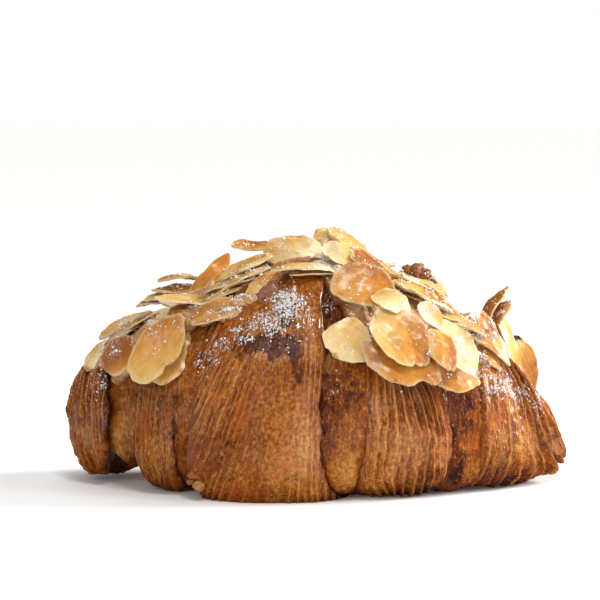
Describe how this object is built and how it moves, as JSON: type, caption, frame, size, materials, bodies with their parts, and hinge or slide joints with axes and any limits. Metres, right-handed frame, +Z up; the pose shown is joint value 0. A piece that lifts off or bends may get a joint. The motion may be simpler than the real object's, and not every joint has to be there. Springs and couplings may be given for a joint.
{
  "type": "almond croissant",
  "caption": "Almond croissant: a browned crescent of flaky rolled pastry with flaked almonds, almond cream and powdered sugar on its back.",
  "frame": {"origin": "on the table, under the middle of the croissant's bounding box", "axes": "+X along the croissant from tip to tip, -Y towards its convex side, which the picture shows, +Z up"},
  "size_m": [0.1539, 0.0827, 0.0783],
  "materials": {
    "pastry": "satin",
    "almond": "satin"
  },
  "bodies": {
    "root": {"pastry": "pastry", "almond_topping": "almond"}
  },
  "joints": []
}
